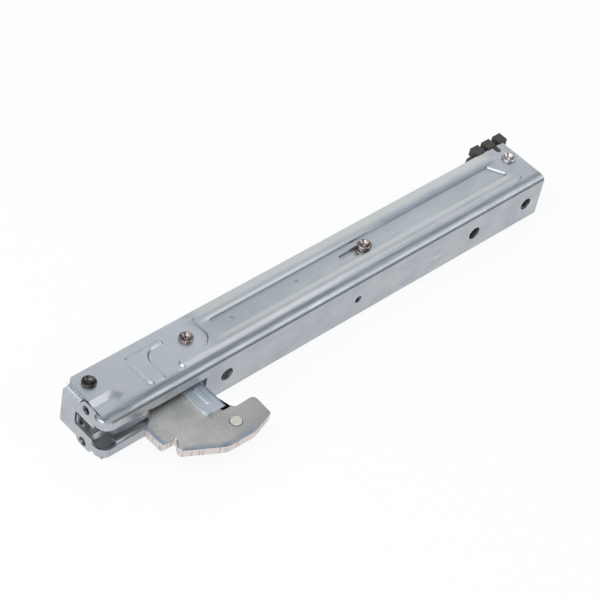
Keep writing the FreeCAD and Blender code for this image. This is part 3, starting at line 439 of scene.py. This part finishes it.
def metal(name, base, dark, blotch=0.5, grain=0.2, lines=0.4, scratches=0.3, gloss=0.30, bump=0.15,
          metallic=1.0, side=None, rim=None, painted_light=None, fade=None, edges=None):
    """A metal whose colour and gloss vary with wear, with other colours on sheared sides and rims.

    The argument for painted light gives the places of the masks of painted light and shade, and
    the colours painted where they mark. fade gives a direction, two distances along it and the
    colour that the metal takes towards the second.
    edges gives straight edges, each by its inward direction and distance, then the width and
    the colour of the tint that runs beside them.
    """
    material = bpy.data.materials.new(name)
    material.use_nodes = True
    tree = material.node_tree
    tree.nodes.clear()
    wear = node(tree, "ShaderNodeGroup", node_tree=WEAR)
    given = {"Base": (*base, 1), "Dark": (*dark, 1), "Blotch": blotch, "Grain": grain, "Lines": lines,
             "Scratches": scratches, "Gloss": gloss}
    for label, number in given.items():
        wear.inputs[label].default_value = number
    colour = wear.outputs["Color"]
    if fade or edges:
        place = node(tree, "ShaderNodeTexCoord").outputs["Object"]
    if fade:
        way, near, far, tint = fade
        colour = blend_colour(tree, band(tree, along(tree, place, way), near, far), colour, (*tint, 1))
    if edges:
        straights, width, tint = edges
        for way, start in straights:
            cloud = band(tree, stretched_noise(tree, place, CLOUDY_SCALE, 3.0), *CLOUDY_BAND)
            beside = times(tree, band(tree, along(tree, place, way), start + width, start), cloud)
            colour = blend_colour(tree, beside, colour, (*tint, 1))
    if side:
        blank = node(tree, "ShaderNodeGroup", node_tree=BLANK)
        torn = tuple(TORN * part for part in side)
        for label, tint in (("Rim", rim), ("Side", side), ("Torn", torn)):
            colour = blend_colour(tree, blank.outputs[label], colour, (*tint, 1))
    # Painted light and shade on the channel: each mask lays on its colour, dark for shade and light for
    # highlights.
    if painted_light:
        places, tints = painted_light
        mark = node(tree, "ShaderNodeGroup", node_tree=PAINTED_LIGHT)
        for label, number in places.items():
            mark.inputs[label].default_value = number
        for label in PAINTED_LIGHT_MARKS:
            colour = blend_colour(tree, mark.outputs[label], colour, (*tints[label], 1))
    relief = node(tree, "ShaderNodeBump",
                  {"Height": wear.outputs["Height"], "Strength": bump, "Distance": RELIEF_DEPTH})
    surface = node(tree, "ShaderNodeBsdfPrincipled", {
        "Base Color": colour, "Metallic": metallic, "Roughness": wear.outputs["Roughness"],
        "Normal": relief.outputs[0]})
    node(tree, "ShaderNodeOutputMaterial", {"Surface": surface.outputs[0]})
    return material


# %% The finishes of the solids
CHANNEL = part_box("channel")
# Where the painted light and shade lie on the channel, and their colours: painted shade for Streak, Line,
# Hollow and Slope, painted highlights and lighter painted tones for Crest, Bright Slope, Plain, Step and
# Glint.
PAINTED_LIGHT_PLACES = {"Web": CHANNEL[0][1], "Field Start": CHANNEL[0][0] + 71 * MM,
                "Field End": CHANNEL[1][0] - 12 * MM}
PAINTED_LIGHT_TINTS = {
    "Streak": (0.24, 0.26, 0.285), "Line": (0.145, 0.155, 0.165), "Crest": (0.575, 0.595, 0.59),
    "Hollow": (0.42, 0.455, 0.49), "Slope": (0.31, 0.35, 0.40), "Bright Slope": (0.68, 0.71, 0.74),
    "Plain": (0.64, 0.67, 0.70), "Step": (0.86, 0.89, 0.92), "Glint": (0.765, 0.785, 0.805)}

# The arm's straight edges: the claw's end, the slant beside it, and the long outer side.
ARM_EDGES = (((1, 0, 0), -0.1235), ((0.473, 0.881, 0), -0.0776), ((0, 1, 0), -0.0349))
ARM_TINT = (ARM_EDGES, 3.0 * MM, (0.22, 0.28, 0.36))
# Painted shade: the arm's face turns darker towards its nose.
ARM_NOSE_PAINTED_SHADE = ((0.80, -0.60, 0), -0.078, -0.030, (0.36, 0.355, 0.35))
FINISHES = {
    "galvanised_sheet": metal("galvanised_sheet", (0.505, 0.535, 0.56), (0.395, 0.43, 0.46),
                              painted_light=(PAINTED_LIGHT_PLACES, PAINTED_LIGHT_TINTS)),
    "zinc_plate": metal("zinc_plate", (0.76, 0.74, 0.69), (0.50, 0.50, 0.485), blotch=0.7, grain=0.5,
                        side=(0.72, 0.66, 0.64), rim=(0.26, 0.32, 0.41), fade=ARM_NOSE_PAINTED_SHADE, edges=ARM_TINT),
    "latch_sheet": metal("latch_sheet", (0.62, 0.67, 0.71), (0.44, 0.50, 0.55), grain=0.3,
                         side=(0.74, 0.77, 0.79), rim=(0.50, 0.56, 0.62)),
    "claw_pin_steel": metal("claw_pin_steel", (0.90, 0.78, 0.74), (0.66, 0.66, 0.58), blotch=0.1,
                            grain=0.9),
    "rivet_steel": metal("rivet_steel", (0.46, 0.38, 0.34), (0.16, 0.13, 0.12), gloss=0.22, blotch=0.6),
    "turned_steel": metal("turned_steel", (0.56, 0.57, 0.58), (0.42, 0.43, 0.44)),
    "link_strip": metal("link_strip", (0.56, 0.59, 0.62), (0.42, 0.45, 0.48)),
    "spring_wire": metal("spring_wire", (0.40, 0.41, 0.43), (0.25, 0.26, 0.28), gloss=0.26),
    "black_plastic": metal("black_plastic", (0.036, 0.028, 0.024), (0.060, 0.048, 0.041), grain=0.5,
                           lines=0.0, scratches=0.1, gloss=0.5, metallic=0.0),
}
slot_of = {entry["node"]: entry["material_slot"] for entry in frame["record"]["subparts"]}
finish_of = {name: FINISHES[slot] for name, slot in slot_of.items()}
for name, solid in nodes.items():
    for place in solid.material_slots:
        place.link = "OBJECT"
        place.material = finish_of[name]
print("finishes", len(FINISHES))

# %% [markdown]
# ## Soft edges
# A press never leaves a knife edge: sheared rims roll over a little and the slopes of a
# pressed relief run smoothly into the flat. The solids have hard edges there. Modifiers
# round them without a change to the meshes: flat triangles are joined first, then square
# edges get a small radius and the blunter edges of the reliefs another. The faces are then
# parted where they still meet at an angle, so that flat metal is also shaded flat.

# %% Rounded edges by modifiers
WELD_GAP = 0.001 * MM
FLAT_ANGLE = math.radians(0.6)
SQUARE_ANGLE = math.radians(60)
BLUNT_ANGLE = math.radians(21)
SPLIT_ANGLE = math.radians(12)
SQUARE_STEPS, BLUNT_STEPS = 6, 3


def soft_edges(solid, square, blunt=None, clamp=True):
    """Round an object's square edges, and its blunt ones too where a width for them is given."""
    weld = solid.modifiers.new("weld", "WELD")
    weld.merge_threshold = WELD_GAP
    flat = solid.modifiers.new("flat", "DECIMATE")
    flat.decimate_type = "DISSOLVE"
    flat.angle_limit = FLAT_ANGLE
    for width, angle, steps in ((square, SQUARE_ANGLE, SQUARE_STEPS), (blunt, BLUNT_ANGLE, BLUNT_STEPS)):
        if width:
            bevel = solid.modifiers.new("bevel", "BEVEL")
            bevel.width = width
            bevel.segments = steps
            bevel.limit_method = "ANGLE"
            bevel.angle_limit = angle
            bevel.use_clamp_overlap = clamp
    if blunt:
        part = solid.modifiers.new("part", "EDGE_SPLIT")
        part.use_edge_sharp = False
        part.split_angle = SPLIT_ANGLE
    even = solid.modifiers.new("even", "WEIGHTED_NORMAL")
    even.mode = "FACE_AREA_WITH_ANGLE"


soft_edges(nodes["channel"], 0.20 * MM, 0.60 * MM)
soft_edges(nodes["hook_arm"], 0.75 * MM, clamp=False)
soft_edges(nodes["latch"], 0.20 * MM, 0.25 * MM)
soft_edges(nodes["end_clip"], 0.45 * MM)
for word in ("upper", "lower"):
    soft_edges(nodes["pull_link_" + word], 0.15 * MM)
print("softened", [name for name, solid in nodes.items() if solid.modifiers])

# %% [markdown]
# ## Rolled rivets
# The rivets are semi-tubular: a tool rolls the hollow end outwards into a ring, so the
# head is a small doughnut with a deep hole, not a disc. That is a profile turned about
# an axis, and the whole surface comes from one outer product of the profile's radii with
# the cosines and sines of the turn.

# %% Helpers for turned surfaces
def make_piece(name, points, faces, material, rides_on=None, sharp=35):
    """A mesh object with smooth faces, whose edges stay sharp above the given angle."""
    mesh = bpy.data.meshes.new(name)
    mesh.from_pydata(points.tolist(), [], faces)
    mesh.update()
    mesh.shade_smooth()
    mesh.set_sharp_from_angle(angle=math.radians(sharp))
    mesh.materials.append(material)
    piece = bpy.data.objects.new(name, mesh)
    scene.collection.objects.link(piece)
    if rides_on:
        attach(piece, rides_on)
    return piece


def revolve(name, profile, centre, material, rides_on, around=56):
    """Turn a profile of (radius, height) about an upright axis through the centre.

    The profile runs from the axis, outwards and up, back to the axis. Every ring is the
    profile's radius times (cosine, sine) of the turn, at the profile's height.
    """
    radius, height = np.array(profile, float).T
    turn = np.linspace(0, 2 * np.pi, around, endpoint=False)
    ring = np.stack([np.outer(radius[1:-1], np.cos(turn)), np.outer(radius[1:-1], np.sin(turn)),
                     np.outer(height[1:-1], np.ones(around))], axis=-1)
    ends = np.array([(0, 0, height[0]), (0, 0, height[-1])])
    points = np.concatenate([ring.reshape(-1, 3), ends]) + np.array(centre)
    spot = np.arange(ring.shape[0] * around).reshape(-1, around)
    after = np.roll(spot, -1, axis=1)
    sides = np.stack([spot[:-1], after[:-1], after[1:], spot[1:]], axis=-1).reshape(-1, 4)
    under = np.stack([np.full(around, spot.size), after[0], spot[0]], axis=-1)
    over = np.stack([np.full(around, spot.size + 1), spot[-1], after[-1]], axis=-1)
    return make_piece(name, points, sides.tolist() + under.tolist() + over.tolist(), material, rides_on)


def arc(centre, reach, start, stop, steps):
    """Points (radius, height) on an ellipse's arc, with the angles in degrees."""
    angle = np.radians(np.linspace(start, stop, steps))
    return [(centre[0] + reach[0] * np.cos(t), centre[1] + reach[1] * np.sin(t)) for t in angle]


# %% The profile of a rolled rivet
# The heights that the shank reaches from and to, and the radii of shank, head and bore.
WALL_LOW, WALL_HIGH = 1.3 * MM, 28.0 * MM
SHANK, HEAD, BORE = 2.3 * MM, 3.5 * MM, 1.35 * MM
BORE_DEPTH = 2.2 * MM

# The radius of the ring's section, the funnel's depth, and the angle that the ring turns over.
ROLL, FUNNEL = 0.48 * MM, 1.15 * MM
ROLLED_OVER = 150
DOME_TURNS = np.radians(np.arange(0, 81, 10))
DOME_LIP, UNDER_RING = 0.05 * MM, 0.97

# Places on the cup's floor: the share of the bore's radius, and the rise above its depth.
CUP = ((0.96, 0.35 * MM), (0.7, 0.0), (0, -0.1 * MM))


def rolled_profile(low, high, wall_high):
    """A rivet with a low domed head below and a rolled hollow ring above.

    The ring's section is most of a half circle at the head's outer edge, then a funnel down
    into the bore, which ends in a shallow cup.
    """
    dome = [(HEAD * np.sin(t), WALL_LOW - (WALL_LOW - low) * np.cos(t)) for t in DOME_TURNS]
    through = [(HEAD, WALL_LOW - DOME_LIP), (SHANK, WALL_LOW), (SHANK, wall_high),
               (HEAD * UNDER_RING, wall_high)]
    ring = arc((HEAD - ROLL, high - ROLL), (ROLL, ROLL), 0, ROLLED_OVER, 11) + [(BORE, high - FUNNEL)]
    cup = [(BORE * share, high - BORE_DEPTH + rise) for share, rise in CUP]
    return dome + through + ring + cup


# %% The four rolled rivets
def rolled_rivet(name, stands_for, material, rides_on, wall_high=WALL_HIGH):
    """A rolled rivet in the place of one of the solids, as tall as it is."""
    low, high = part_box(stands_for)
    centre = ((low[0] + high[0]) / 2, (low[1] + high[1]) / 2, 0)
    piece = revolve(name, rolled_profile(low[2], high[2], wall_high), centre, material, rides_on)
    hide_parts(stands_for)
    return piece


DARK_RIVET = metal("dark_rivet", (0.27, 0.235, 0.23), (0.06, 0.055, 0.055), gloss=0.22, blotch=0.9,
                   grain=0.5)
WORN_RIVET = metal("worn_rivet", (0.48, 0.425, 0.40), (0.15, 0.125, 0.115), gloss=0.20, blotch=0.6,
                   scratches=0.8)
BRIGHT_RIVET = metal("bright_rivet", (0.68, 0.64, 0.62), (0.32, 0.29, 0.28), gloss=0.20, blotch=0.5)
rolled_rivet("pivot_rivet_rolled", "pivot_rivet", DARK_RIVET, "channel_body")
rolled_rivet("roller_rivet_rolled", "roller_rivet", WORN_RIVET, "channel_body")
rolled_rivet("anchor_rivet_rolled", "anchor_rivet", BRIGHT_RIVET, "channel_body")
rolled_rivet("slot_pin_rolled", "slot_pin", WORN_RIVET, "slider_body", WALL_HIGH + 0.5 * MM)
print("rolled rivets done")

# %% [markdown]
# ## Drawn collars
# The round holes for screws look dark from in front, though nothing fills them. A punch
# that draws the rim of a hole inwards leaves a short collar behind it, and the eye, which
# looks in at a slant, meets the collar's wall. The collars are coloured dark, as painted
# shade for the shade inside the holes. Each collar is a turned ring with its axis
# laid along the hole.

# %% Collars behind the screw holes
# The collars' dark colour is painted shade, for the shade inside the screw holes.
COLLAR_PAINTED_SHADE = metal("collar_painted_shade", (0.26, 0.235, 0.22), (0.10, 0.09, 0.085), gloss=0.30, blotch=0.7)
SHEET = 1.2 * MM
AROUND = 48

# The bore, wall and length of each kind of collar, and where on the channel the holes are.
WEB_COLLAR = (3.4 * MM, 0.8 * MM, 2.6 * MM)
EAR_COLLAR = (2.3 * MM, 0.45 * MM, 0.85 * MM)
HOLE_FROM_END = 10.4 * MM
EAR_FROM_WEB, EAR_FROM_MIDDLE = 13.2 * MM, 10.4 * MM


def collar(name, centre, inward, bore, wall, length):
    """A ring whose section is a small rectangle with a rounded far rim, turned about the hole's axis."""
    rim = arc((bore + wall / 2, length - wall / 2), (wall / 2, wall / 2), 0, 180, 9)
    section = np.array([(bore, 0.0), (bore + wall, 0.0)] + rim)
    turn = np.linspace(0, 2 * np.pi, AROUND, endpoint=False)
    inward = np.array(inward, float)
    side = np.array((0.0, 0.0, 1.0))
    other = np.cross(inward, side)
    spoke = np.outer(np.cos(turn), side) + np.outer(np.sin(turn), other)
    points = section[:, None, :1] * spoke[None] + section[:, None, 1:] * inward + np.array(centre)
    spot = np.arange(points.shape[0] * points.shape[1]).reshape(points.shape[:2])
    after, below = np.roll(spot, -1, axis=1), np.roll(spot, -1, axis=0)
    faces = np.stack([spot, after, np.roll(after, -1, axis=0), below], axis=-1).reshape(-1, 4)
    piece = make_piece(name, points.reshape(-1, 3), faces.tolist(), COLLAR_PAINTED_SHADE, "channel_body")
    return piece


end_x, web_y = CHANNEL[1][0], CHANNEL[0][1]
middle_z = (CHANNEL[0][2] + CHANNEL[1][2]) / 2
collar("web_end_collar", (end_x - HOLE_FROM_END, web_y + SHEET, middle_z), (0, 1, 0), *WEB_COLLAR)
for word, sign in (("upper", 1), ("lower", -1)):
    ear = (CHANNEL[0][0] + SHEET, web_y + EAR_FROM_WEB, middle_z + sign * EAR_FROM_MIDDLE)
    collar("ear_collar_" + word, ear, (1, 0, 0), *EAR_COLLAR)
print("collars done")

# %% [markdown]
# ## Spring wire
# The solid spring has flat-sided wire, to stay light. Here the wire is round. It could be
# a screw modifier, but the hooks and the bends into them would then need other pieces.
# One path for the whole wire is simpler: each stretch of it gives places along the path
# and, with them, the way that points away from the bend, so that rings of points can be
# set square to the path all at once.

# %% The path of the spring's wire
# The radii of wire and coil, the coil's pitch and its number of turns.
WIRE, COIL, PITCH, TURNS = 1.3 * MM, 6.6 * MM, 3.1 * MM, 24

# The radius of the spools' grooves, the hooks' slack there, the elbows' radius, the tails' length.
GROOVE, HOOK_SLACK, ELBOW, TAIL = 3.0 * MM, 0.3 * MM, 1.5 * MM, 4.0 * MM
HOOK_STEPS, ELBOW_STEPS, TURN_STEPS = 25, 7, 26


def wire_path(span):
    """The path of the spring's wire along its own axis, and the outward way at each place.

    Columns are: away from the hook's plane axis, out of that plane, and along the axis. A
    hook is half a circle, an elbow a quarter, and the coil a helix, each by its angle.
    """
    length = PITCH * TURNS
    start, stop = (span - length) / 2, (span + length) / 2
    near = COIL - WIRE - GROOVE - HOOK_SLACK
    far = span - near
    half = np.linspace(0, np.pi, HOOK_STEPS)
    quarter = np.linspace(0, np.pi / 2, ELBOW_STEPS)[:-1]
    skipped = ELBOW / COIL
    share = np.linspace(0, 1, TURNS * TURN_STEPS)
    turn = skipped + (2 * np.pi * TURNS - 2 * skipped) * share
    still = np.zeros_like

    def stretch(x, y, z, out_x, out_y, out_z):
        """The places along one stretch of the wire, and the outward way at each."""
        return (np.stack(np.broadcast_arrays(x, y, z), -1),
                np.stack(np.broadcast_arrays(out_x, out_y, out_z), -1))

    elbow_side = ELBOW * (1 - np.cos(quarter))
    elbow_rise = ELBOW * (1 - np.sin(quarter))
    parts = [
        stretch(-COIL, 0.0, near + TAIL * np.array([1.0, 0.5]), -1.0, 0.0, still(quarter[:2])),
        stretch(COIL * np.cos(half[::-1]), 0.0, near - COIL * np.sin(half[::-1]),
                np.cos(half[::-1]), 0.0, -np.sin(half[::-1])),
        stretch(COIL, elbow_side, start - elbow_rise, 1.0, 0.0, still(quarter)),
        stretch(COIL * np.cos(turn), COIL * np.sin(turn), start + length * share,
                np.cos(turn), np.sin(turn), still(turn)),
        stretch(COIL, -elbow_side[::-1], stop + elbow_rise[::-1], 1.0, 0.0, still(quarter)),
        stretch(COIL * np.cos(half), 0.0, far + COIL * np.sin(half), np.cos(half), 0.0, np.sin(half)),
        stretch(-COIL, 0.0, far - TAIL * np.array([0.5, 1.0]), -1.0, 0.0, still(quarter[:2])),
    ]
    return np.concatenate([part[0] for part in parts]), np.concatenate([part[1] for part in parts])


# %% Round wire along the path
RING = 14
WIRE_SHARP = 50


def round_wire(name, path, outward, radius, material):
    """Rings square to a path. Each point is the path plus radius times (outward, sideways) by angle."""
    ahead = np.gradient(path, axis=0)
    ahead /= np.linalg.norm(ahead, axis=1, keepdims=True)
    outward = outward - ahead * np.sum(outward * ahead, axis=1, keepdims=True)
    outward /= np.linalg.norm(outward, axis=1, keepdims=True)
    sideways = np.cross(ahead, outward)
    turn = np.linspace(0, 2 * np.pi, RING, endpoint=False)
    spokes = outward[:, None] * np.cos(turn)[:, None] + sideways[:, None] * np.sin(turn)[:, None]
    rings = path[:, None] + radius * spokes
    spot = np.arange(len(path) * RING).reshape(-1, RING)
    after = np.roll(spot, -1, axis=1)
    sides = np.stack([spot[:-1], after[:-1], after[1:], spot[1:]], axis=-1).reshape(-1, 4)
    caps = [spot[0][::-1].tolist(), spot[-1].tolist()]
    return make_piece(name, rings.reshape(-1, 3), sides.tolist() + caps, material, sharp=WIRE_SHARP)


def middle_of(name):
    """The middle of a solid's box."""
    low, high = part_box(name)
    return (Vector(low) + Vector(high)) / 2


pin, anchor = middle_of("slot_spool"), middle_of("anchor_spool")
axis = (anchor - pin).normalized()
up = Vector((0, 0, 1))
turned_axes = np.array([up.cross(axis), up, axis])
path, outward = wire_path((anchor - pin).length)
spring = round_wire("spring_wire_round", path @ turned_axes + np.array(pin), outward @ turned_axes, WIRE,
                    FINISHES["spring_wire"])
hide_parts("tension_spring")
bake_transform(spring)
print("spring wire", len(path), "places")
